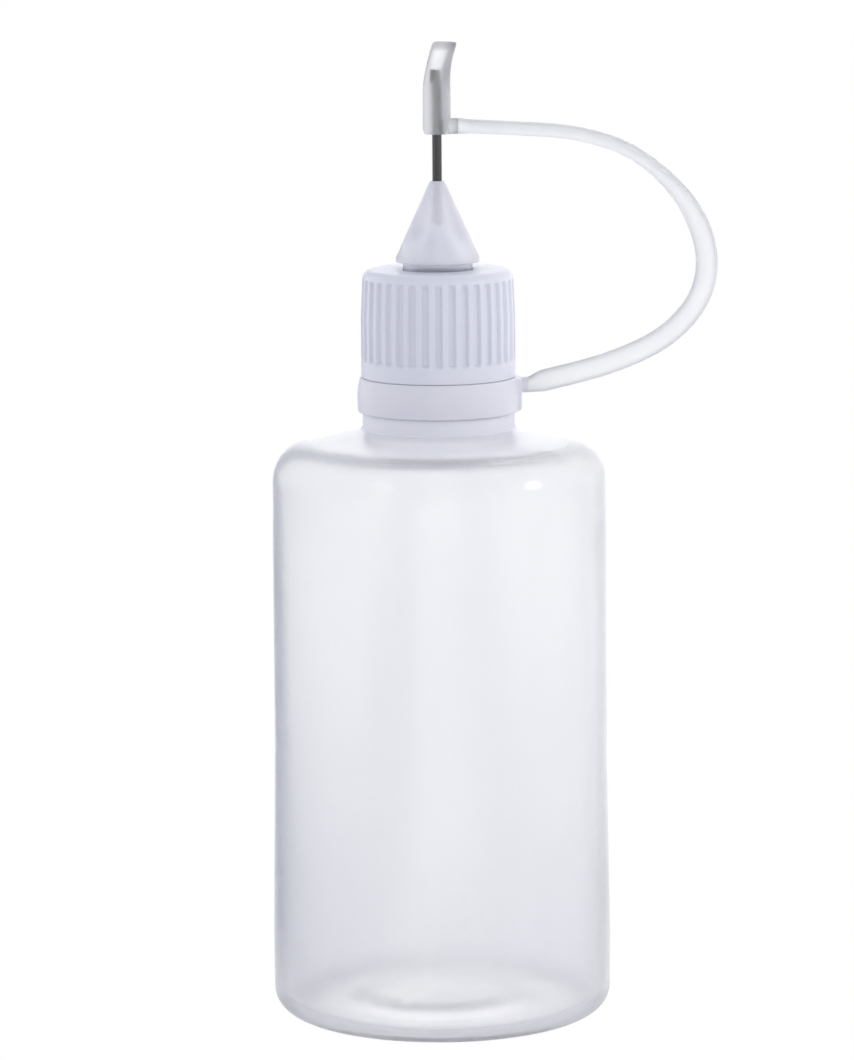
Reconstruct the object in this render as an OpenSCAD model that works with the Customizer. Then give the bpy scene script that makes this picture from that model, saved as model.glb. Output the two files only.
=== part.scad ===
// Squeeze bottle for glue, with a screw closure, a steel dispensing needle
// and a tethered needle cap. Millimetres, +Z up, origin under the base on the axis.

/* [Body] */
// Outer diameter of the bottle body below its shoulder
body_d = 32; // [30:1:40]
// How much wider the body's radius is just above its heel
heel_swell = 0.35; // [0:0.05:0.5]
// Height of the top of the neck's collar, from which the closure is measured
collar_top_z = 58.3; // [45:0.1:80]
// Wall thickness of the blown body
wall = 0.9; // [0.7:0.1:1.2]
// Rounding radius of the heel
heel_r = 2.2; // [1.6:0.1:3]
// Rounding radius of the shoulder's corner
corner_r = 4; // [3:0.1:4.5]
// Slope of the shoulder above its corner, in degrees
shoulder_slope = 12; // [10:1:20]
// Height of the push-up in the middle of the base
push_up = 0.8; // [0.4:0.1:1.5]

/* [Neck] */
// Diameter of the neck without its thread
neck_d = 11.5; // [11.3:0.1:11.6]
// Outer diameter of the neck's thread
thread_d = 12.7; // [12.5:0.1:12.8]
// Bore of the neck
neck_bore = 8; // [7.4:0.1:8.4]
// Height of the neck above its collar
neck_h = 10.9; // [10.8:0.1:11.2]
// Threads per inch
threads_per_inch = 12; // [10:1:12]
// Turns of thread on the neck
neck_turns = 2.25; // [1.5:0.25:2.5]

/* [Screw cap] */
// Diameter over the grip ribs
cap_d = 14.8; // [14.6:0.1:15.4]
// Height of the cap
cap_h = 13.7; // [13.6:0.1:14.2]
// Number of grip ribs
rib_count = 36; // [24:1:40]
// Depth of the grooves between the ribs
rib_depth = 0.3; // [0.1:0.05:0.35]

/* [Nozzle] */
// Diameter of the rim at the foot of the cone
cone_d = 8; // [7.4:0.1:9]
// Height of the cone above its rim
cone_h = 7.3; // [7:0.1:8]
// Diameter of the cone's tip
cone_tip_d = 1.36; // [1.2:0.01:1.6]

/* [Needle] */
// Outer diameter of the needle
needle_d = 0.91; // [0.82:0.01:1.06]
// Bore of the needle
needle_bore = 0.6; // [0.5:0.01:0.65]
// Length of needle that stands out of the cone
needle_out = 10.5; // [10:0.1:11]
// Length of needle held in the cone
needle_in = 4.3; // [3:0.1:4.5]

/* [Tether] */
// Width of the tether cord, a strap of oval section
cord_w = 2.1; // [1.7:0.1:2.3]
// Thickness of the tether cord
cord_t = 1.1; // [0.9:0.1:1.3]
// Outer diameter of the needle cap
needle_cap_d = 2.64; // [2.4:0.02:2.8]

/* [Hidden] */
$fn = 96;
inch = 25.4;
run_gap = 0.08;             // radial clearance where one piece turns in another

// Body
body_r = body_d / 2;
heel_body_r = body_r + heel_swell;
foot_r = heel_body_r - heel_r;
foot_inner_r = 0.62 * foot_r;
swell_z = 8;                // where the swell is full
swell_mid_z = 26;           // where a third of it is left
slope_end_r = 8;
slope_end_z = collar_top_z - 1.45;
slope_start_a = 90 - shoulder_slope;
slope_start_r = body_r - corner_r + corner_r * cos(slope_start_a);
slope_start_z = slope_end_z - (slope_start_r - slope_end_r) * tan(shoulder_slope);
shoulder_z = slope_start_z - corner_r * sin(slope_start_a);

// Neck
neck_r = neck_d / 2;
neck_inner_r = neck_bore / 2;
collar_r = 7.3;
neck_top_z = collar_top_z + neck_h;
pitch = inch / threads_per_inch;
thread_z = collar_top_z + 3.9;
thread_gap = 0.15;          // radial clearance between the two threads
thread_bite = 0.3;          // how far each thread is rooted in its wall
thread_crest_w = 0.5;
thread_flank = 0.55;        // widening of one flank per millimetre of depth
thread_steps = 32;          // facets in one turn
thread_run_out = 8;         // facets over which a thread's end dies away

// Screw cap
cap_r = cap_d / 2;
cap_bore_r = thread_d / 2 + thread_gap;
cap_z = collar_top_z + 0.2;
cap_top_z = cap_z + cap_h;
cap_top_wall = 1.15;
cap_corner_r = 1;
cap_top_r = cap_r - 0.2;
cap_hole_r = 3.4;
lip_r = cap_r - 0.1;
lip_h = 0.4;
ring_seat_r = cap_r - 0.45;
grip_z = cap_z + 3.4;
rib_z = grip_z + 1.75;
rib_top_z = cap_top_z - 1.05;
rib_taper_z = cap_top_z - 4.5;
rib_cut_r = 0.42;
cap_turns = 2;

// Washer, nozzle and needle
washer_h = 0.7;
washer_r = 5.7;
flange_z = neck_top_z + washer_h;
flange_top_z = cap_top_z - cap_top_wall - 0.05;
plug_h = 3.4;
plug_r = neck_inner_r - 0.05;
plug_wall = 0.85;
nozzle_neck_r = cap_hole_r - 0.1;
passage_r = 2.5;
passage_z = flange_z + 1.1;
cone_r = cone_d / 2;
cone_rim_z = cap_top_z + 0.7;
cone_rim_h = 0.4;
cone_z = cone_rim_z + cone_rim_h;
cone_tip_z = cone_z + cone_h;
needle_z = cone_tip_z - needle_in;
needle_tip_z = cone_tip_z + needle_out;

// Tether ring
ring_bore_r = ring_seat_r + run_gap;
ring_z = cap_z + 0.05;
ring_top_z = grip_z - 0.05;
ring_lip_bore_r = lip_r + 0.1;
ring_foot_r = cap_r + 0.35;
ring_belly_r = cap_r + 0.4;
ring_belly_z = ring_z + 1.75;
ring_top_r = cap_r + 0.15;
pad_r = cap_r + 0.65;
pad_w = 3.4;
spigot_r = 0.75;
spigot_end_x = 8.6;

// Needle cap: a soft tube, pinched shut and bent over at its top
needle_cap_r = needle_cap_d / 2;
needle_cap_bore_r = needle_d / 2 + 0.02;
needle_cap_z = collar_top_z + 26.8;
mouth_r = 1.05;
mouth_h = 0.5;
tube_h = 4.2;
boss_end_x = 2;
tab_z = needle_cap_z + tube_h - 0.3;
tab_h = 4.8;
tab_w = 2.7;
tab_foot_d = needle_cap_d - 0.3;
tab_thick = 1.1;
tab_lean = 0.85;            // how far its end leans over to the side
tab_turn = -35;             // which way its flat side faces
tab_sides = 24;
tab_slices = 6;

// Cord: points of its route in the plane y = 0, from the ring to the needle cap,
// as distance from the axis and height above the collar
cord_sides = 8;
cord_twist = 60;            // turn of the strap on its way, wide side on at the ring
cord_route = [
    [8.6, 2.7], [10.5, 3.2], [13, 3.8], [15.9, 4.6], [18.8, 5.7], [21.1, 6.9],
    [23, 8.4], [24.5, 10.2], [25.4, 12.2], [25.7, 14.3], [25.4, 16.5], [24.6, 18.6],
    [23.4, 20.6], [21.7, 22.5], [19.8, 24.1], [17.6, 25.4], [15, 26.3], [12, 26.9],
    [8.2, 27.2], [4.4, 27.4], [2, 27.5]
];
cord_start_z = collar_top_z + cord_route[0].y;
cord_end_z = collar_top_z + cord_route[len(cord_route) - 1].y;

// A share t of the way from a to b
function between(a, b, t) = a + (b - a) * t;

// A smooth rise from 0 to 1 as t does
function ease(t) = let (u = max(0, min(1, t))) u * u * (3 - 2 * u);

// Points of an arc about a centre, in degrees from one angle to another
function arc(centre, r, from, to, steps = 6) =
    [for (i = [0 : steps])
        let (a = from + (to - from) * i / steps)
        centre + r * [cos(a), sin(a)]];

// Faces of a closed tube through rings of n points, one ring more than there are steps
function tube_faces(steps, n) = concat(
    [[for (j = [n - 1 : -1 : 0]) j]],
    [[for (j = [0 : n - 1]) n * steps + j]],
    [for (i = [0 : steps - 1], j = [0 : n - 1])
        let (a = n * i + j, b = n * i + (j + 1) % n)
        each [[a, b, b + n], [a, b + n, a + n]]]
);

// Outline of the body up to the neck, shrunk by t all round
function body_outline(t) = concat(
    [[0, push_up + t]],
    [[foot_inner_r - 2, push_up + t]],
    [[foot_inner_r, t]],
    arc([heel_body_r - heel_r, heel_r], heel_r - t, -90, 0),
    [[heel_body_r - t, swell_z], [body_r + heel_swell / 3 - t, swell_mid_z]],
    arc([body_r - corner_r, shoulder_z], corner_r - t, 0, slope_start_a),
    [[slope_end_r, slope_end_z - t]]
);

// Half outline of the neck, from the shoulder to the rim
function neck_outline() = [
    [collar_r, slope_end_z + 0.15],
    [collar_r, collar_top_z - 0.1],
    [collar_r - 0.1, collar_top_z],
    [neck_r, collar_top_z],
    [neck_r, neck_top_z - 0.25],
    [neck_r - 0.25, neck_top_z],
    [0, neck_top_z]
];

// One cross-section of a thread at step i: root, crest, crest, root
function thread_section(i, steps, wall_r, crest_r) =
    let (
        out = sign(crest_r - wall_r),
        root_r = wall_r - out * thread_bite,
        full = min(1, i / thread_run_out, (steps - i) / thread_run_out),
        tip_r = root_r + (crest_r - root_r) * max(0.1, full),
        root_w = thread_crest_w / 2 + thread_flank * abs(crest_r - root_r),
        tip_w = root_w - thread_flank * abs(tip_r - root_r)
    )
    [[root_r, -out * root_w], [tip_r, -out * tip_w], [tip_r, out * tip_w], [root_r, out * root_w]];

// A right-hand helical ridge on the wall of radius wall_r
module thread(wall_r, crest_r, z, turns) {
    steps = turns * thread_steps;
    points = [for (i = [0 : steps])
        let (a = 360 * i / thread_steps)
        for (p = thread_section(i, steps, wall_r, crest_r))
            [p.x * cos(a), p.x * sin(a), z + pitch * a / 360 + p.y]];
    polyhedron(points, tube_faces(steps, 4));
}

// Blow-moulded bottle with its threaded neck
module bottle() {
    color([0.93, 0.93, 0.95, 0.6])
    union() {
        difference() {
            rotate_extrude() polygon(concat(body_outline(0), neck_outline()));
            rotate_extrude() polygon(concat(
                body_outline(wall),
                [[neck_inner_r, slope_end_z - wall + 0.6]],
                [[neck_inner_r, neck_top_z + 1], [0, neck_top_z + 1]]
            ));
        }
        thread(neck_r, thread_d / 2, thread_z, neck_turns);
    }
}

// Screw cap with its grip ribs, the seat for the tether ring and its inner thread
module screw_cap() {
    color([0.84, 0.85, 0.9, 0.9])
    union() {
        difference() {
            rotate_extrude() polygon(concat(
                [[cap_bore_r, cap_z], [lip_r, cap_z], [lip_r, cap_z + lip_h]],
                [[ring_seat_r, cap_z + lip_h], [ring_seat_r, grip_z], [cap_r, grip_z]],
                [[cap_r, rib_taper_z]],
                arc([cap_top_r - cap_corner_r, cap_top_z - cap_corner_r], cap_corner_r, 0, 90),
                [[cap_hole_r, cap_top_z], [cap_hole_r, cap_top_z - cap_top_wall]],
                [[cap_bore_r, cap_top_z - cap_top_wall]]
            ));
            for (i = [0 : rib_count - 1])
                rotate([0, 0, 360 * i / rib_count])
                    translate([0, -(cap_r - rib_depth + rib_cut_r), rib_z])
                        cylinder(r = rib_cut_r, h = rib_top_z - rib_z, $fn = 24);
        }
        thread(cap_bore_r, neck_r + thread_gap, thread_z + pitch / 2, cap_turns);
    }
}

// Dispensing cone, held under the cap by its flange and plugged into the neck
module nozzle() {
    color([0.85, 0.86, 0.91, 0.85])
    rotate_extrude() polygon([
        [plug_r - plug_wall, flange_z - plug_h],
        [plug_r - 0.3, flange_z - plug_h],
        [plug_r, flange_z - plug_h + 0.5],
        [plug_r, flange_z],
        [washer_r, flange_z],
        [washer_r, flange_top_z],
        [nozzle_neck_r, flange_top_z],
        [nozzle_neck_r, cone_rim_z],
        [cone_r, cone_rim_z],
        [cone_r, cone_z],
        [cone_tip_d / 2, cone_tip_z],
        [needle_d / 2, cone_tip_z],
        [needle_d / 2, needle_z],
        [needle_bore / 2, needle_z],
        [needle_bore / 2, needle_z - 0.3],
        [passage_r, cone_rim_z],
        [passage_r, passage_z],
        [plug_r - plug_wall, flange_z + 0.6]
    ]);
}

// Blunt steel needle
module needle() {
    color([0.45, 0.45, 0.46])
    translate([0, 0, needle_z])
    difference() {
        cylinder(d = needle_d, h = needle_tip_z - needle_z, $fn = 48);
        translate([0, 0, -1]) cylinder(d = needle_bore, h = needle_tip_z - needle_z + 2, $fn = 48);
    }
}

// Foam washer between the neck's rim and the nozzle's flange
module sealing_washer() {
    color([0.95, 0.95, 0.94])
    translate([0, 0, neck_top_z])
    difference() {
        cylinder(r = washer_r, h = washer_h);
        translate([0, 0, -1]) cylinder(r = neck_inner_r, h = washer_h + 2);
    }
}

// Band round the foot of the cap, with the pad and spigot that hold the cord
module tether_ring() {
    color([0.84, 0.84, 0.87, 0.9])
    union() {
        rotate_extrude() polygon([
            [ring_lip_bore_r, ring_z],
            [ring_foot_r, ring_z],
            [ring_belly_r, ring_belly_z],
            [ring_top_r, ring_top_z],
            [ring_bore_r, ring_top_z],
            [ring_bore_r, cap_z + lip_h + 0.1],
            [ring_lip_bore_r, cap_z + lip_h + 0.1]
        ]);
        intersection() {
            translate([0, 0, ring_z + 0.05]) difference() {
                cylinder(r = pad_r, h = ring_top_z - ring_z - 0.1);
                translate([0, 0, -1]) cylinder(r = ring_top_r - 0.1, h = ring_top_z - ring_z + 2);
            }
            translate([0, -pad_w / 2, ring_z]) cube([pad_r + 1, pad_w, ring_top_z - ring_z]);
        }
        translate([ring_top_r + 0.2, 0, cord_start_z]) rotate([0, 90, 0])
            cylinder(r = spigot_r, h = spigot_end_x - ring_top_r - 0.2, $fn = 48);
    }
}

// Clear oval strap, swept along its route with a slow twist
module tether_cord() {
    last = len(cord_route) - 1;
    function heading(i) =
        i == 0 ? [1, 0]
        : i == last ? [-1, 0]
        : (cord_route[i + 1] - cord_route[i - 1]) / norm(cord_route[i + 1] - cord_route[i - 1]);
    points = [for (i = [0 : last], j = [0 : cord_sides - 1])
        let (
            a = 360 * j / cord_sides,
            h = heading(i),
            p = cord_route[i],
            at_end = i == 0 || i == last,
            turn = cord_twist * ease((i / last - 0.42) / 0.3),
            wide = (at_end ? spigot_r : cord_w / 2) * cos(a),
            thick = (at_end ? spigot_r : cord_t / 2) * sin(a),
            up = wide * cos(turn) - thick * sin(turn),
            out = wide * sin(turn) + thick * cos(turn)
        )
        [p.x - up * h.y, out, collar_top_z + p.y + up * h.x]];
    color([0.94, 0.94, 0.95, 0.6]) polyhedron(points, tube_faces(last, cord_sides));
}

// Pinched top of the needle cap: a stack of ovals that flatten and lean over as they rise
module pinched_tab() {
    points = [for (i = [0 : tab_slices], j = [0 : tab_sides - 1])
        let (
            t = i / tab_slices,
            a = -360 * j / tab_sides,
            x = between(tab_foot_d, tab_w, t) / 2 * cos(a),
            y = between(tab_foot_d, tab_thick, t) / 2 * sin(a)
        )
        [x * cos(tab_turn) - y * sin(tab_turn) + tab_lean * t * t,
            x * sin(tab_turn) + y * cos(tab_turn), tab_z + tab_h * t]];
    polyhedron(points, tube_faces(tab_slices, tab_sides));
}

// Soft clear cap that slips over the needle
module needle_cap() {
    color([0.9, 0.9, 0.93, 0.7])
    difference() {
        union() {
            translate([0, 0, needle_cap_z]) rotate_extrude() polygon([
                [0, 0],
                [mouth_r, 0],
                [needle_cap_r, mouth_h],
                [needle_cap_r, tube_h],
                [0, tube_h]
            ]);
            pinched_tab();
            translate([needle_cap_r - 0.4, 0, cord_end_z]) rotate([0, 90, 0])
                cylinder(r = spigot_r, h = boss_end_x - needle_cap_r + 0.4, $fn = 48);
        }
        translate([0, 0, needle_cap_z - 1])
            cylinder(r = needle_cap_bore_r, h = needle_tip_z - needle_cap_z + 1.02, $fn = 48);
    }
}

bottle();
screw_cap();
nozzle();
needle();
sealing_washer();
tether_ring();
tether_cord();
needle_cap();
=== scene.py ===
"""A glue applicator bottle: translucent squeeze bottle, ribbed cap, needle and tethered needle cap."""

import math

import bmesh
import bpy
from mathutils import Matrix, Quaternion, Vector, noise


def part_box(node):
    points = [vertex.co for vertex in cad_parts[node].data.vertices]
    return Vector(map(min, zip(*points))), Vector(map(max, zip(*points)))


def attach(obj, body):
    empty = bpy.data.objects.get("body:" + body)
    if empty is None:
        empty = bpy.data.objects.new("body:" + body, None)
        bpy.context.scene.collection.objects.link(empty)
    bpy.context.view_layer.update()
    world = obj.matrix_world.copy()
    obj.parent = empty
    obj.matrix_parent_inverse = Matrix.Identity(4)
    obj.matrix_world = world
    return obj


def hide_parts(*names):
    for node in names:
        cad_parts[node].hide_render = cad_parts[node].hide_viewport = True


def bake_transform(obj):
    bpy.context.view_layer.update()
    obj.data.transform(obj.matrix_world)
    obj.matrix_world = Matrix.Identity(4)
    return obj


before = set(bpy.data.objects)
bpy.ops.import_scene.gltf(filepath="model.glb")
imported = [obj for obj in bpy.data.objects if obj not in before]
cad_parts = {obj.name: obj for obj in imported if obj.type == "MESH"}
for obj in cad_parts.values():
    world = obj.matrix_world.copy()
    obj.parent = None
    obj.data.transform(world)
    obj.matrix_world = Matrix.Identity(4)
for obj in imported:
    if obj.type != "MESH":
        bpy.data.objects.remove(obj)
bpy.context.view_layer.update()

# Lengths are in millimetres until they reach a mesh.
MM = 0.001
SEGMENTS = 192
RIBS = 36
SWELL = 0.35
PITCH = 25.4 / 12


def box_mm(node):
    low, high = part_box(node)
    return low / MM, high / MM


_, bottle_high = box_mm("bottle")
cap_low, cap_high = box_mm("screw_cap")
nozzle_low, nozzle_high = box_mm("nozzle")
needle_low, needle_high = box_mm("needle")
washer_low, washer_high = box_mm("sealing_washer")
ring_low, _ = box_mm("tether_ring")
tip_low, tip_high = box_mm("needle_cap")

BODY_R = bottle_high.x - SWELL
NECK_TOP = bottle_high.z
COLLAR_TOP = cap_low.z - 0.2
NECK_R = 5.75
NECK_BORE_R = 4.0
THREAD_R = 6.35
THREAD_START = COLLAR_TOP + 3.9
CAP_R = cap_high.x
CAP_BORE_R = THREAD_R + 0.15
CAP_Z = cap_low.z
CAP_TOP = cap_high.z
CAP_HOLE_R = 3.36
CAP_TOP_WALL = 1.15
GRIP_Z = CAP_Z + 3.4
SLOPE_END_Z = COLLAR_TOP - 1.45
MILKY_Z = COLLAR_TOP - 1.4
CONE_RIM_Z = CAP_TOP + 0.7
NEEDLE_R = 0.455
NEEDLE_BORE_R = 0.3

# The strap's route in the plane y = 0: distance from the axis and height above the neck's collar
ROUTE = [
    (8.6, 2.7), (10.5, 3.2), (13, 3.8), (15.9, 4.6), (18.8, 5.7), (21.1, 6.9),
    (23, 8.4), (24.5, 10.2), (25.4, 12.2), (25.7, 14.3), (25.4, 16.5), (24.6, 18.6),
    (23.4, 20.6), (21.7, 22.5), (19.8, 24.1), (17.6, 25.4), (15, 26.3), (12, 26.9),
    (8.2, 27.2), (4.4, 27.4), (2, 27.5),
]
STRAP_WIDE = 2.1
STRAP_THICK = 1.1
SPIGOT_R = 0.75
STRAP_TWIST = math.radians(60)
STRAP_SIDES = 48
TAB_TURN = math.radians(-35)


# ---------------------------------------------------------------- camera


def make_camera():
    """A long lens, a little above the bottle."""
    back, up, aside = 451 * MM, 118 * MM, -1.2 * MM
    aim = Vector((aside, 0, 46.95 * MM))
    place = Vector((aside, -back, up))
    data = bpy.data.cameras.new("camera")
    data.sensor_width = 36
    data.lens = 161
    camera = bpy.data.objects.new("camera", data)
    camera.location = place
    camera.rotation_mode = "QUATERNION"
    roll = Quaternion((0, 0, 1), math.radians(-0.4))
    camera.rotation_quaternion = (aim - place).to_track_quat("-Z", "Y") @ roll
    bpy.context.scene.collection.objects.link(camera)
    bpy.context.scene.camera = camera


# ---------------------------------------------------------------- small helpers


def ease(t):
    """A smooth rise from 0 to 1 as t does."""
    t = max(0.0, min(1.0, t))
    return t * t * (3 - 2 * t)


def window(x, low, high, edge):
    """1 between low and high, falling smoothly to 0 over edge outside them."""
    return ease((x - low) / edge + 1) * ease((high - x) / edge + 1)


def between(a, b, t):
    """A share t of the way from a to b."""
    return a + (b - a) * t


def rounded(corners, closed=False, steps=8):
    """Points along a line through corners (r, z, radius), each rounded with an arc of its radius."""
    count = len(corners)
    points = []
    for i, (r, z, fillet) in enumerate(corners):
        here = Vector((r, z))
        if fillet == 0 or (not closed and i in (0, count - 1)):
            points.append(here)
            continue
        last = Vector(corners[i - 1][:2])
        following = Vector(corners[(i + 1) % count][:2])
        into, out = here - last, following - here
        turn = into.angle(out)
        reach = min(fillet * math.tan(turn / 2), 0.49 * into.length, 0.49 * out.length)
        start = here - into.normalized() * reach
        end = here + out.normalized() * reach
        pull = math.cos(turn / 2)
        for k in range(steps + 1):
            t = k / steps
            near, middle, far = (1 - t) ** 2, 2 * pull * t * (1 - t), t * t
            points.append((start * near + here * middle + end * far) / (near + middle + far))
    return points


def divided(points, longest, closed=False):
    """The same line with no step longer than longest."""
    ends = points[1:] + points[:1] if closed else points[1:]
    result = []
    for a, b in zip(points, ends):
        pieces = max(1, math.ceil((b - a).length / longest))
        result += [a.lerp(b, k / pieces) for k in range(pieces)]
    return result if closed else result + [points[-1]]


def new_object(name, bm, sharp=35):
    bmesh.ops.recalc_face_normals(bm, faces=bm.faces)
    mesh = bpy.data.meshes.new(name)
    bm.to_mesh(mesh)
    bm.free()
    mesh.shade_smooth()
    mesh.set_sharp_from_angle(angle=math.radians(sharp))
    obj = bpy.data.objects.new(name, mesh)
    bpy.context.scene.collection.objects.link(obj)
    return obj


def loft(name, rings, closed=False):
    """A skin over rings of points in millimetres; a ring of one point closes an end."""
    bm = bmesh.new()
    made = [[bm.verts.new(Vector(p) * MM) for p in ring] for ring in rings]
    following = made[1:] + made[:1] if closed else made[1:]
    for a, b in zip(made, following):
        for k in range(max(len(a), len(b))):
            corners = [a[k % len(a)], a[(k + 1) % len(a)], b[(k + 1) % len(b)], b[k % len(b)]]
            corners = [v for i, v in enumerate(corners) if v not in corners[:i]]
            bm.faces.new(corners)
    return new_object(name, bm)


def lathe(name, outline, closed=False, segments=SEGMENTS, shape=None):
    """A solid of revolution about Z. shape(angle, r, z) may move each point of the outline."""
    rings = []
    for r, z in outline:
        if r < 1e-6:
            rings.append([(0, 0, z)])
            continue
        ring = []
        for k in range(segments):
            angle = 2 * math.pi * k / segments
            far, high = shape(angle, r, z) if shape else (r, z)
            ring.append((far * math.cos(angle), far * math.sin(angle), high))
        rings.append(ring)
    return loft(name, rings, closed)


def side_pin(name, radius, start_x, end_x, z, segments=48):
    """A short round pin along X."""
    rings = [[(start_x, 0, z)]]
    for x in (start_x, end_x):
        ring = []
        for k in range(segments):
            angle = 2 * math.pi * k / segments
            ring.append((x, radius * math.cos(angle), z + radius * math.sin(angle)))
        rings.append(ring)
    return loft(name, rings + [[(end_x, 0, z)]])


def join_solid(body, extra):
    """Makes one clean solid of two that overlap."""
    cut = body.modifiers.new("join", "BOOLEAN")
    cut.operation = "UNION"
    cut.solver = "EXACT"
    cut.object = extra
    graph = bpy.context.evaluated_depsgraph_get()
    mesh = bpy.data.meshes.new_from_object(body.evaluated_get(graph))
    body.modifiers.remove(cut)
    body.data = mesh
    bpy.data.objects.remove(extra)
    mesh.shade_smooth()
    mesh.set_sharp_from_angle(angle=math.radians(35))
    return body


def thread_height(angle, z, start, turns):
    """How far a right-hand thread stands up at a point of its wall, from 0 to 1."""
    best = 0.0
    for k in range(math.ceil(turns) + 1):
        along = angle / (2 * math.pi) + k
        if along > turns:
            break
        away = abs(z - start - PITCH * along)
        end_fade = min(1, along / 0.25, (turns - along) / 0.25)
        best = max(best, ease((0.6 - away) / 0.36) * ease(end_fade))
    return best


# ---------------------------------------------------------------- materials


def link(tree, out, into):
    tree.links.new(out, into)


def noise_value(tree, scale, stretch):
    """A noise texture in the object's own space, stretched along Z by stretch."""
    coordinates = tree.nodes.new("ShaderNodeTexCoord")
    mapping = tree.nodes.new("ShaderNodeMapping")
    mapping.inputs["Scale"].default_value = (1, 1, 1 / stretch)
    texture = tree.nodes.new("ShaderNodeTexNoise")
    texture.inputs["Scale"].default_value = scale
    texture.inputs["Detail"].default_value = 3
    link(tree, coordinates.outputs["Object"], mapping.inputs["Vector"])
    link(tree, mapping.outputs["Vector"], texture.inputs["Vector"])
    return texture.outputs["Fac"]


def mapped(tree, value, low, high):
    """The noise's middle range spread from low to high."""
    node = tree.nodes.new("ShaderNodeMapRange")
    node.inputs["From Min"].default_value = 0.3
    node.inputs["From Max"].default_value = 0.7
    node.inputs["To Min"].default_value = low
    node.inputs["To Max"].default_value = high
    link(tree, value, node.inputs["Value"])
    return node.outputs["Result"]


def plastic(name, pale, deep, cloud, stretch, rough, grain, bump, **constant):
    """Moulded plastic: two shades in soft clouds, uneven gloss and a fine moulded skin."""
    material = bpy.data.materials.new(name)
    material.use_nodes = True
    tree = material.node_tree
    shader = tree.nodes["Principled BSDF"]
    for socket, value in constant.items():
        shader.inputs[socket.replace("_", " ")].default_value = value
    mix = tree.nodes.new("ShaderNodeMix")
    mix.data_type = "RGBA"
    mix.inputs["A"].default_value = (*pale, 1)
    mix.inputs["B"].default_value = (*deep, 1)
    clouds = noise_value(tree, cloud, stretch)
    link(tree, mapped(tree, clouds, 0, 1), mix.inputs["Factor"])
    link(tree, mix.outputs["Result"], shader.inputs["Base Color"])
    smears = noise_value(tree, cloud * 3, stretch)
    link(tree, mapped(tree, smears, rough[0], rough[1]), shader.inputs["Roughness"])
    skin = tree.nodes.new("ShaderNodeBump")
    skin.inputs["Strength"].default_value = bump
    skin.inputs["Distance"].default_value = 0.05 * MM
    link(tree, noise_value(tree, grain, 1.0), skin.inputs["Height"])
    link(tree, skin.outputs["Normal"], shader.inputs["Normal"])
    return material


def tint_rims(material, colour):
    """Painted shade: a greyer colour on the edges the mesh's attribute marks, standing in for the
    shade seen through a clear part's thick edges.
    """
    tree = material.node_tree
    shader = tree.nodes["Principled BSDF"]
    even = shader.inputs["Base Color"].links[0].from_socket
    rim = tree.nodes.new("ShaderNodeAttribute")
    rim.attribute_name = "rim"
    mix = tree.nodes.new("ShaderNodeMix")
    mix.data_type = "RGBA"
    mix.inputs["B"].default_value = (*colour, 1)
    link(tree, rim.outputs["Fac"], mix.inputs["Factor"])
    link(tree, even, mix.inputs["A"])
    link(tree, mix.outputs["Result"], shader.inputs["Base Color"])
    return material


def absorb(material, colour, density):
    """Darkens light by the length of its path inside the wall."""
    tree = material.node_tree
    volume = tree.nodes.new("ShaderNodeVolumeAbsorption")
    volume.inputs["Color"].default_value = (*colour, 1)
    volume.inputs["Density"].default_value = density
    link(tree, volume.outputs["Volume"], tree.nodes["Material Output"].inputs["Volume"])
    return material


def height_step(tree, low, high):
    """0 below one height and 1 above another, in millimetres."""
    coordinates = tree.nodes.new("ShaderNodeTexCoord")
    parts = tree.nodes.new("ShaderNodeSeparateXYZ")
    step = tree.nodes.new("ShaderNodeMapRange")
    step.inputs["From Min"].default_value = low * MM
    step.inputs["From Max"].default_value = high * MM
    link(tree, coordinates.outputs["Object"], parts.inputs["Vector"])
    link(tree, parts.outputs["Z"], step.inputs["Value"])
    return step.outputs["Result"]


def frosted_above(material, height, rough):
    """A duller skin above a height."""
    tree = material.node_tree
    shader = tree.nodes["Principled BSDF"]
    skin = tree.nodes.new("ShaderNodeMix")
    skin.inputs["B"].default_value = rough
    link(tree, shader.inputs["Roughness"].links[0].from_socket, skin.inputs["A"])
    link(tree, height_step(tree, height - 0.1, height + 0.1), skin.inputs["Factor"])
    link(tree, skin.outputs["Result"], shader.inputs["Roughness"])


def milky_above(material, height, fade, clear):
    """Less see-through above a height, where the moulding is thick."""
    tree = material.node_tree
    shader = tree.nodes["Principled BSDF"]
    glass = tree.nodes.new("ShaderNodeMix")
    glass.inputs["A"].default_value = shader.inputs["Transmission Weight"].default_value
    glass.inputs["B"].default_value = clear
    link(tree, height_step(tree, height - fade, height), glass.inputs["Factor"])
    link(tree, glass.outputs["Result"], shader.inputs["Transmission Weight"])


def paint_shade_above(material, height, fade, colour):
    """Painted shade: a darker, bluer colour above a height, over the material's own shades."""
    tree = material.node_tree
    shader = tree.nodes["Principled BSDF"]
    tone = tree.nodes.new("ShaderNodeMix")
    tone.data_type = "RGBA"
    tone.inputs["A"].default_value = (1, 1, 1, 1)
    tone.inputs["B"].default_value = (*colour, 1)
    link(tree, height_step(tree, height - fade, height), tone.inputs["Factor"])
    shades = shader.inputs["Base Color"].links[0].from_socket
    link(tree, multiplied(tree, shades, tone.outputs["Result"]), shader.inputs["Base Color"])


def bottle_plastic():
    material = plastic(
        "bottle_ldpe", (0.985, 0.985, 0.99), (0.95, 0.95, 0.965), 60, 3, (0.13, 0.2), 900, 0.05,
        Transmission_Weight=0.82, IOR=1.5,
    )
    frosted_above(material, COLLAR_TOP - 1.3, 0.6)
    milky_above(material, MILKY_Z, 1.6, 0.18)
    # painted shade: the collar and the shoulder's slope darker and bluer, standing in for the cap's
    # reflection and the shade there
    paint_shade_above(material, MILKY_Z, 1.6, (0.89, 0.895, 0.945))
    return absorb(material, (0.6, 0.62, 0.7), 60)


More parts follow.
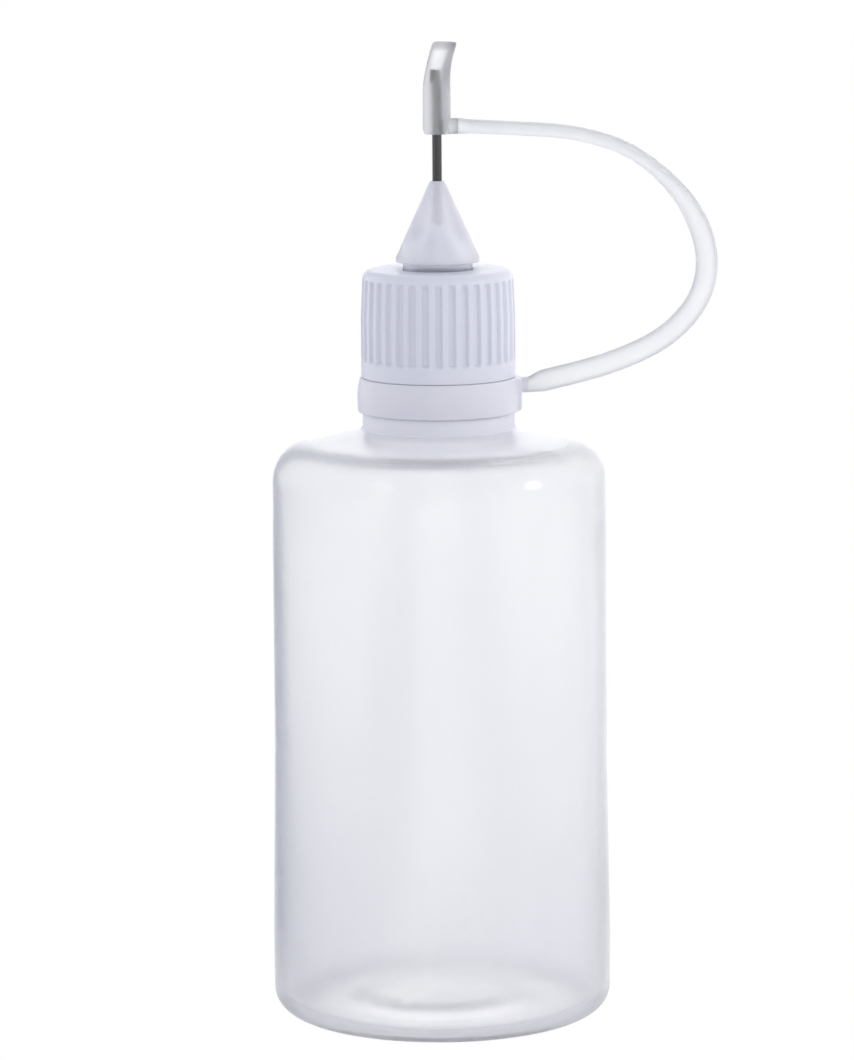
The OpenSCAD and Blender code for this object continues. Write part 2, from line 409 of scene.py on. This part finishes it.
def cap_plastic():
    return plastic(
        "cap_plastic", (0.82, 0.835, 0.92), (0.78, 0.795, 0.885), 120, 2, (0.29, 0.38), 1500, 0.1,
        Transmission_Weight=0.25, IOR=1.5,
    )


def nozzle_plastic():
    material = plastic(
        "nozzle_plastic", (0.93, 0.935, 0.985), (0.88, 0.885, 0.95), 150, 2, (0.29, 0.36), 1500, 0.1,
        Transmission_Weight=0.95, IOR=1.5,
    )
    milky_above(material, CONE_RIM_Z, 0.1, 0.5)
    return material


def ring_plastic():
    return plastic(
        "ring_plastic", (0.83, 0.83, 0.9), (0.8, 0.8, 0.87), 120, 1, (0.29, 0.38), 1500, 0.1,
        Transmission_Weight=0.25, IOR=1.5,
    )


def washer_foam():
    return plastic(
        "washer_foam", (0.93, 0.93, 0.92), (0.86, 0.86, 0.85), 800, 1, (0.8, 0.95), 4000, 0.6,
    )


def clear_vinyl(name, shade, milk, rim):
    material = plastic(
        name, (shade,) * 3, (shade - 0.03, shade - 0.03, shade - 0.02), 200, 1, (0.4, 0.44), 400, 0.01,
        Transmission_Weight=milk, IOR=1.48,
    )
    # painted shade: the edges the mesh marks get the greyer rim colour
    return tint_rims(material, (rim, rim, rim + 0.02))


def needle_steel():
    return plastic(
        "needle_steel", (0.09, 0.09, 0.092), (0.058, 0.058, 0.06), 900, 12, (0.29, 0.38), 5000, 0.3,
        Metallic=1.0,
    )


# ---------------------------------------------------------------- pieces


def place(obj, material, slot, body, *nodes):
    """Gives a finished piece its material and its body, and hides the CAD nodes it stands for; slot is
    not used.
    """
    obj.data.materials.clear()
    obj.data.materials.append(material)
    if body:
        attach(obj, body)
    if nodes:
        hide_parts(*nodes)
    return obj


def bottle_outline():
    """The body's outer line from the middle of the base to the rim, then back down its inside."""
    heel, corner, wall, push_up = 2.2, 4, 0.9, 0.8
    collar_r = 7.3
    slope = math.tan(math.radians(12))
    heel_edge = BODY_R + SWELL
    foot_in = 0.62 * (heel_edge - heel)
    edge_z = SLOPE_END_Z - (BODY_R - 8) * slope
    outside = [
        (0, push_up, 0),
        (foot_in - 2, push_up, 4.5),
        (foot_in, 0, 4.5),
        (heel_edge, 0, heel),
        (heel_edge, 8, 8),
        (BODY_R + SWELL / 3, 26, 12),
        (BODY_R, edge_z, corner),
        (collar_r, SLOPE_END_Z + 0.12, 0.35),
        (collar_r, ring_low.z - 0.03, 0.12),
        (NECK_R, ring_low.z - 0.03, 0.05),
        (NECK_R, NECK_TOP, 0.3),
        (NECK_BORE_R, NECK_TOP, 0.15),
    ]
    inside = [
        (NECK_BORE_R, SLOPE_END_Z - 0.3, 0.8),
        (8, SLOPE_END_Z - wall, 3),
        (BODY_R - wall, edge_z - wall, corner - wall),
        (BODY_R + SWELL / 3 - wall, 26, 12),
        (heel_edge - wall, 8, 8),
        (heel_edge - wall, wall, heel - 0.5),
        (foot_in, wall, 4.5),
        (foot_in - 2, push_up + wall, 4.5),
        (0, push_up + wall, 0),
    ]
    return divided(rounded(outside + inside), 0.9)


def fine_neck(outline):
    """The same outline with short steps along the neck's outer wall, for its thread."""
    fine = []
    for a, b in zip(outline, outline[1:]):
        near_wall = NECK_R - 0.4 < min(a.x, b.x) and max(a.x, b.x) < THREAD_R
        on_neck = near_wall and min(a.y, b.y) > COLLAR_TOP + 0.3
        pieces = max(1, math.ceil((b - a).length / 0.13)) if on_neck else 1
        fine += [a.lerp(b, k / pieces) for k in range(pieces)]
    return fine + [outline[-1]]


def make_bottle():
    seam = math.radians(-128)
    seam_side = Vector((-math.sin(seam), math.cos(seam), 0))

    def shape(angle, r, z):
        far, high = r, z
        on_neck = abs(r - NECK_R) < 0.06 and COLLAR_TOP < z < NECK_TOP
        if on_neck:
            far += (THREAD_R - NECK_R) * thread_height(angle, z, THREAD_START, 2.25)
        away = abs(Vector((r * math.cos(angle), r * math.sin(angle), 0)).dot(seam_side))
        ridge = ease(1 - away / 0.35)
        if r > BODY_R - 0.5:
            far += 0.05 * ridge * window(z, 2.5, 50, 1.5)
            wave = noise.noise(Vector((2 * math.cos(angle), 2 * math.sin(angle), z / 18)))
            far += 0.06 * wave * window(z, 6, 46, 4)
        if z < 0.9 and r < 9:
            high -= 0.16 * ridge * window(r, 0, 6, 0.8)
        return far, high

    bottle = lathe("bottle_body", fine_neck(bottle_outline()), shape=shape)
    return place(bottle, bottle_plastic(), "bottle_ldpe", "bottle", "bottle")


def make_screw_cap():
    corners = [
        (CAP_BORE_R, CAP_Z, 0.1),
        (CAP_R - 0.1, CAP_Z, 0.12),
        (CAP_R - 0.1, CAP_Z + 0.4, 0.1),
        (CAP_R - 0.45, CAP_Z + 0.4, 0.05),
        (CAP_R - 0.45, GRIP_Z, 0.05),
        (CAP_R, GRIP_Z, 0.08),
        (CAP_R, CAP_TOP - 4.5, 4),
        (CAP_R - 0.2, CAP_TOP, 1.0),
        (CAP_HOLE_R, CAP_TOP, 0.12),
        (CAP_HOLE_R, CAP_TOP - CAP_TOP_WALL, 0.1),
        (CAP_BORE_R, CAP_TOP - CAP_TOP_WALL, 0.4),
    ]
    outline = divided(rounded(corners, closed=True), 0.16, closed=True)

    def shape(angle, r, z):
        far = r
        rib_low, rib_high = GRIP_Z + 1.85, CAP_TOP - 1.15
        if r > CAP_R - 0.35 and z > GRIP_Z + 0.2:
            wave = 0.5 + 0.5 * math.cos(RIBS * (angle + math.pi / 2))
            groove = ease((wave - 0.25) / 0.6)
            far -= 0.32 * groove * window(z, rib_low, rib_high, 0.35)
        if abs(r - CAP_BORE_R) < 0.02 and CAP_Z < z < CAP_TOP - 1.6:
            far -= 0.6 * thread_height(angle, z, THREAD_START + PITCH / 2, 2)
        return far, z

    cap = lathe("ribbed_cap", outline, closed=True, segments=RIBS * 12, shape=shape)
    return place(cap, cap_plastic(), "cap_plastic", "cap", "screw_cap")


def make_nozzle():
    plug_r, plug_bore_r, passage_r = NECK_BORE_R - 0.05, NECK_BORE_R - 0.9, 2.5
    flange_r, neck_r, cone_r, tip_r = 5.7, CAP_HOLE_R - 0.04, 4.0, 0.68
    flange_z, flange_top = washer_high.z, CAP_TOP - 1.2
    corners = [
        (plug_bore_r, nozzle_low.z, 0.1),
        (plug_r - 0.3, nozzle_low.z, 0.1),
        (plug_r, nozzle_low.z + 0.5, 0.3),
        (plug_r, flange_z, 0.1),
        (flange_r, flange_z, 0.15),
        (flange_r, flange_top, 0.15),
        (neck_r, flange_top, 0.15),
        (neck_r, CONE_RIM_Z, 0.1),
        (cone_r, CONE_RIM_Z, 0.12),
        (cone_r, CONE_RIM_Z + 0.4, 0.15),
        (tip_r, nozzle_high.z, 0.1),
        (NEEDLE_R, nozzle_high.z, 0),
        (NEEDLE_R, needle_low.z, 0),
        (NEEDLE_BORE_R, needle_low.z, 0),
        (NEEDLE_BORE_R, needle_low.z - 0.3, 0.1),
        (passage_r, CONE_RIM_Z, 0.8),
        (passage_r, flange_z + 1.1, 0.3),
        (plug_bore_r, flange_z + 0.6, 0.4),
    ]
    outline = divided(rounded(corners, closed=True), 0.5, closed=True)
    nozzle = lathe("nozzle_cone", outline, closed=True)
    return place(nozzle, nozzle_plastic(), "nozzle_plastic", "nozzle", "nozzle")


def make_needle():
    corners = [
        (NEEDLE_R, needle_low.z, 0.04),
        (NEEDLE_R, needle_high.z, 0.07),
        (NEEDLE_BORE_R, needle_high.z, 0.04),
        (NEEDLE_BORE_R, needle_low.z, 0.04),
    ]
    outline = divided(rounded(corners, closed=True), 0.5, closed=True)
    needle = lathe("needle_tube", outline, closed=True, segments=64)
    return place(needle, needle_steel(), "needle_steel", "nozzle", "needle")


def make_washer():
    low, high = washer_low.z, washer_high.z
    corners = [
        (NECK_BORE_R, low, 0.12),
        (washer_high.x, low, 0.2),
        (washer_high.x, high, 0.2),
        (NECK_BORE_R, high, 0.12),
    ]
    outline = divided(rounded(corners, closed=True), 0.3, closed=True)
    washer = lathe("foam_washer", outline, closed=True)
    return place(washer, washer_foam(), "washer_foam", "nozzle", "sealing_washer")


def make_ring():
    low, high = ring_low.z, GRIP_Z - 0.03
    corners = [
        (CAP_R, low, 0.1),
        (CAP_R + 0.35, low, 0.25),
        (CAP_R + 0.4, low + 1.75, 3),
        (CAP_R + 0.15, high, 0.2),
        (CAP_R - 0.37, high, 0.1),
        (CAP_R - 0.37, CAP_Z + 0.5, 0.05),
        (CAP_R, CAP_Z + 0.5, 0.05),
    ]
    outline = divided(rounded(corners, closed=True), 0.16, closed=True)

    def shape(angle, r, z):
        far = r
        if r > CAP_R + 0.05:
            across = r * math.sin(angle)
            pad = window(across, -1.5, 1.5, 0.25) if math.cos(angle) > 0 else 0
            far += (CAP_R + 0.65 - r) * pad * window(z, low + 0.25, high - 0.25, 0.2)
        return far, z

    ring = lathe("tether_band", outline, closed=True, segments=288, shape=shape)
    spigot_z = COLLAR_TOP + ROUTE[0][1]
    spigot = side_pin("spigot", SPIGOT_R, CAP_R + 0.3, ROUTE[0][0], spigot_z)
    return place(join_solid(ring, spigot), ring_plastic(), "ring_plastic", "tether", "tether_ring")


def smooth_route(steps):
    """A smooth curve through the route's points, in millimetres, with its share of the way."""
    points = [Vector((x, 0, COLLAR_TOP + z)) for x, z in ROUTE]
    lead_in = points[0] - Vector((1, 0, 0))
    lead_out = points[-1] - Vector((1, 0, 0))
    held = [lead_in] + points + [lead_out]
    line = []
    for i in range(1, len(held) - 2):
        a, b, c, d = held[i - 1:i + 3]
        for k in range(steps):
            t = k / steps
            line.append(
                0.5 * (2 * b + (c - a) * t + (2 * a - 5 * b + 4 * c - d) * t * t
                       + (3 * b - a - 3 * c + d) * t ** 3)
            )
    line.append(points[-1])
    return line


def make_strap():
    """The clear oval strap: wide side on at the ring and twisted towards the needle cap."""
    line = smooth_route(16)
    last = len(line) - 1
    lengths = [0.0]
    for a, b in zip(line, line[1:]):
        lengths.append(lengths[-1] + (b - a).length)
    rings, rims = [], [0.5]
    for i, here in enumerate(line):
        if i in (0, last):
            heading = Vector((1, 0, 0)) if i == 0 else Vector((-1, 0, 0))
        else:
            heading = (line[i + 1] - line[i - 1]).normalized()
        side = Vector((-heading.z, 0, heading.x))
        along = lengths[i] / lengths[-1]
        from_end = min(lengths[i], lengths[-1] - lengths[i])
        full = ease(from_end / 1.6)
        wide = between(SPIGOT_R, STRAP_WIDE / 2, full)
        thick = between(SPIGOT_R, STRAP_THICK / 2, full)
        turn = STRAP_TWIST * ease((along - 0.38) / 0.28)
        reach = math.hypot(wide * math.cos(turn), thick * math.sin(turn))
        ring = []
        for k in range(STRAP_SIDES):
            angle = 2 * math.pi * k / STRAP_SIDES
            u, v = wide * math.cos(angle), thick * math.sin(angle)
            up = u * math.cos(turn) - v * math.sin(turn)
            # painted shade: the strap's narrow edges are marked for a greyer colour, standing in for
            # the shade seen through its thick edges
            rims.append(ease((abs(up) / reach - 0.45) / 0.45))
            out = u * math.sin(turn) + v * math.cos(turn)
            ring.append(here + side * up + Vector((0, out, 0)))
        rings.append(ring)
    strap = loft("tether_strap", [[line[0]]] + rings + [[line[-1]]])
    strap.data.attributes.new("rim", "FLOAT", "POINT").data.foreach_set("value", rims + [0.5])
    place(strap, clear_vinyl("tether_clear", 0.95, 0.5, 0.8), "tether_clear", None, "tether_cord")
    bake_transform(strap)
    return strap


def make_needle_cap():
    """A soft clear tube over the needle, pinched shut above the needle's tip and leaning over."""
    radius, bore, lean = 1.32, NEEDLE_R + 0.02, 0.85
    low, top = tip_low.z, tip_high.z
    tip = needle_high.z
    tab_z = low + 4.1
    sides = 48

    def oval(z, wide, thick):
        t = max(0.0, (z - tab_z) / (top - tab_z))
        ring = []
        for k in range(sides):
            angle = 2 * math.pi * k / sides
            x, y = wide * math.cos(angle), thick * math.sin(angle)
            ring.append((
                x * math.cos(TAB_TURN) - y * math.sin(TAB_TURN) + lean * t * t,
                x * math.sin(TAB_TURN) + y * math.cos(TAB_TURN),
                z,
            ))
        return ring

    inside = [oval(between(low + 0.25, tip + 0.02, k / 24), bore, bore) for k in range(25)]
    middle = (0, 0, tip + 0.02)
    outside = []
    for k in range(7):
        t = k / 6
        outside.append(oval(low + 0.45 * t, *(2 * (between(1.05, radius, math.sqrt(t)),))))
    rise = 24
    for k in range(1, rise + 1):
        z = between(low + 0.5, top - 0.25, k / rise)
        t = ease((z - tab_z + 0.4) / (top - tab_z - 0.6))
        outside.append(oval(z, between(radius, 1.35, t), between(radius, 0.55, t)))
    outside.append(oval(top - 0.06, 1.2, 0.46))
    outside.append(oval(top, 0.9, 0.3))
    crown = Vector(outside[-1][0]).lerp(Vector(outside[-1][sides // 2]), 0.5)
    mouth = oval(low, 0.8, 0.8)
    lip = oval(low + 0.06, 0.52, 0.52)
    rings = [[middle]] + inside[::-1] + [lip, mouth] + outside + [[crown]]
    cap = loft("soft_needle_cap", rings)
    boss_z = COLLAR_TOP + ROUTE[-1][1]
    boss = side_pin("boss", SPIGOT_R, radius - 0.4, ROUTE[-1][0], boss_z)
    cap = join_solid(cap, boss)
    across = Vector((math.cos(TAB_TURN), math.sin(TAB_TURN), 0))
    rims = []
    for vertex in cap.data.vertices:
        point = vertex.co / MM
        t = max(0.0, (point.z - tab_z) / (top - tab_z))
        side = abs((point - Vector((lean * t * t, 0, 0))).dot(across))
        # painted shade: the tab's sides and top are marked for a greyer colour, standing in for the
        # shade seen through its thick edges
        rims.append(max(ease((side - 0.7) / 0.35), ease((point.z - top + 0.9) / 0.4)))
    cap.data.attributes.new("rim", "FLOAT", "POINT").data.foreach_set("value", rims)
    vinyl = clear_vinyl("needle_cap_clear", 0.86, 0.8, 0.5)
    return place(cap, vinyl, "needle_cap_clear", "needle_cap", "needle_cap")


# ---------------------------------------------------------------- stage and light


def ramp(tree, value, stops):
    """Colours spread along a value from -1 to 1."""
    spread = tree.nodes.new("ShaderNodeMapRange")
    spread.inputs["From Min"].default_value = -1
    link(tree, value, spread.inputs["Value"])
    colours = tree.nodes.new("ShaderNodeValToRGB")
    elements = colours.color_ramp.elements
    for place_at, colour in stops[2:]:
        elements.new(0.5 + place_at / 2)
    for element, (place_at, colour) in zip(elements, sorted(stops)):
        element.position = 0.5 + place_at / 2
        element.color = (*colour, 1)
    link(tree, spread.outputs["Result"], colours.inputs["Fac"])
    return colours.outputs["Color"]


def multiplied(tree, first, second):
    mix = tree.nodes.new("ShaderNodeMix")
    mix.data_type = "RGBA"
    mix.blend_type = "MULTIPLY"
    mix.inputs["Factor"].default_value = 1
    link(tree, first, mix.inputs["A"])
    link(tree, second, mix.inputs["B"])
    return mix.outputs["Result"]


def calculated(tree, operation, first, second):
    """A Math node; second may be a number or a socket."""
    node = tree.nodes.new("ShaderNodeMath")
    node.operation = operation
    link(tree, first, node.inputs[0])
    if isinstance(second, (int, float)):
        node.inputs[1].default_value = second
    else:
        link(tree, second, node.inputs[1])
    return node.outputs["Value"]


def white_to_camera(tree, colour):
    """Plain white for rays straight from the camera, and the colour for all others."""
    path = tree.nodes.new("ShaderNodeLightPath")
    pick = tree.nodes.new("ShaderNodeMix")
    pick.data_type = "RGBA"
    pick.inputs["B"].default_value = (1, 1, 1, 1)
    link(tree, path.outputs["Is Camera Ray"], pick.inputs["Factor"])
    link(tree, colour, pick.inputs["A"])
    return pick.outputs["Result"]


def side_shade(tree, across):
    """Upright grey cards at the left and, paler, at the right, by the sine of the direction."""
    return ramp(tree, across, [
        (-1, (0.95, 0.95, 0.97)), (-0.58, (0.95, 0.95, 0.97)), (-0.44, (0.42, 0.44, 0.5)),
        (-0.28, (0.42, 0.44, 0.5)), (-0.1, (1, 1, 1)), (0.12, (1, 1, 1)), (0.3, (0.78, 0.79, 0.82)),
        (0.42, (0.78, 0.79, 0.82)), (0.56, (1, 1, 1)), (1, (0.95, 0.95, 0.97)),
    ])


def make_floor():
    """A glowing floor that lights the bottle, plain white to the camera. Through the bottle its glow
    darkens in a ring round the base, a painted shade.
    """
    bm = bmesh.new()
    half = 4.0
    corners = [(-half, -half), (half, -half), (half, half), (-half, half)]
    bm.faces.new([bm.verts.new((x, y, -0.0002)) for x, y in corners])
    floor = new_object("floor", bm)
    material = bpy.data.materials.new("floor_white")
    material.use_nodes = True
    tree = material.node_tree
    tree.nodes.clear()
    output = tree.nodes.new("ShaderNodeOutputMaterial")
    glow = tree.nodes.new("ShaderNodeEmission")
    coordinates = tree.nodes.new("ShaderNodeTexCoord")
    distance = tree.nodes.new("ShaderNodeVectorMath")
    distance.operation = "LENGTH"
    link(tree, coordinates.outputs["Object"], distance.inputs[0])
    outwards = calculated(tree, "MULTIPLY", distance.outputs["Value"], 3.3)
    # painted shade: the glow dims in a dark ring round the bottle's heel
    near_to_far = ramp(tree, outwards, [
        (0, (1.5, 1.5, 1.5)), (0.036, (1.5, 1.5, 1.5)), (0.047, (0.62, 0.62, 0.68)),
        (0.064, (1.1, 1.1, 1.15)), (0.3, (1.27, 1.27, 1.29)), (1, (1.4, 1.4, 1.41)),
    ])
    parts = tree.nodes.new("ShaderNodeSeparateXYZ")
    link(tree, coordinates.outputs["Object"], parts.inputs["Vector"])
    reach = calculated(tree, "ADD", distance.outputs["Value"], 0.1)
    heading = calculated(tree, "DIVIDE", parts.outputs["X"], reach)
    shaded = multiplied(tree, near_to_far, side_shade(tree, heading))
    link(tree, white_to_camera(tree, shaded), glow.inputs["Color"])
    link(tree, glow.outputs["Emission"], output.inputs["Surface"])
    floor.data.materials.append(material)


def make_world():
    """An over-bright white behind the bottle, with a dimmer front, sides and ceiling."""
    world = bpy.data.worlds.new("studio")
    bpy.context.scene.world = world
    world.use_nodes = True
    tree = world.node_tree
    background = tree.nodes["Background"]
    coordinates = tree.nodes.new("ShaderNodeTexCoord")
    parts = tree.nodes.new("ShaderNodeSeparateXYZ")
    link(tree, coordinates.outputs["Generated"], parts.inputs["Vector"])
    front_to_back = ramp(tree, parts.outputs["Y"], [
        (-1, (1.05, 1.05, 1.07)), (-0.3, (1.05, 1.05, 1.07)),
        (0.5, (1.5, 1.5, 1.5)), (1, (1.5, 1.5, 1.5)),
    ])
    left_to_right = side_shade(tree, parts.outputs["X"])
    low_to_high = ramp(tree, parts.outputs["Z"], [
        (-1, (1, 1, 1)), (0.45, (1, 1, 1)), (0.8, (0.85, 0.86, 0.88)), (1, (0.85, 0.86, 0.88)),
    ])
    around = multiplied(tree, multiplied(tree, front_to_back, left_to_right), low_to_high)
    link(tree, white_to_camera(tree, around), background.inputs["Color"])


def softbox(name, direction, distance, size, power):
    """A rectangular lamp that faces the shoulder of the bottle."""
    target = Vector((0, 0, 52 * MM))
    data = bpy.data.lights.new(name, "AREA")
    data.shape = "RECTANGLE"
    data.size, data.size_y = size
    data.energy = power
    lamp = bpy.data.objects.new(name, data)
    lamp.location = target + Vector(direction).normalized() * distance
    lamp.rotation_mode = "QUATERNION"
    lamp.rotation_quaternion = (target - lamp.location).to_track_quat("-Z", "Y")
    bpy.context.scene.collection.objects.link(lamp)


def make_light():
    softbox("softbox_right", (0.864, -0.294, 0.407), 0.6, (0.1, 0.12), 0.32)
    softbox("softbox_left", (-0.58, -0.545, 0.61), 0.6, (0.16, 0.08), 0.1)


make_camera()
make_strap()
make_bottle()
make_screw_cap()
make_nozzle()
make_needle()
make_washer()
make_ring()
make_needle_cap()
make_floor()
make_world()
make_light()
bpy.context.scene.view_settings.view_transform = "Standard"
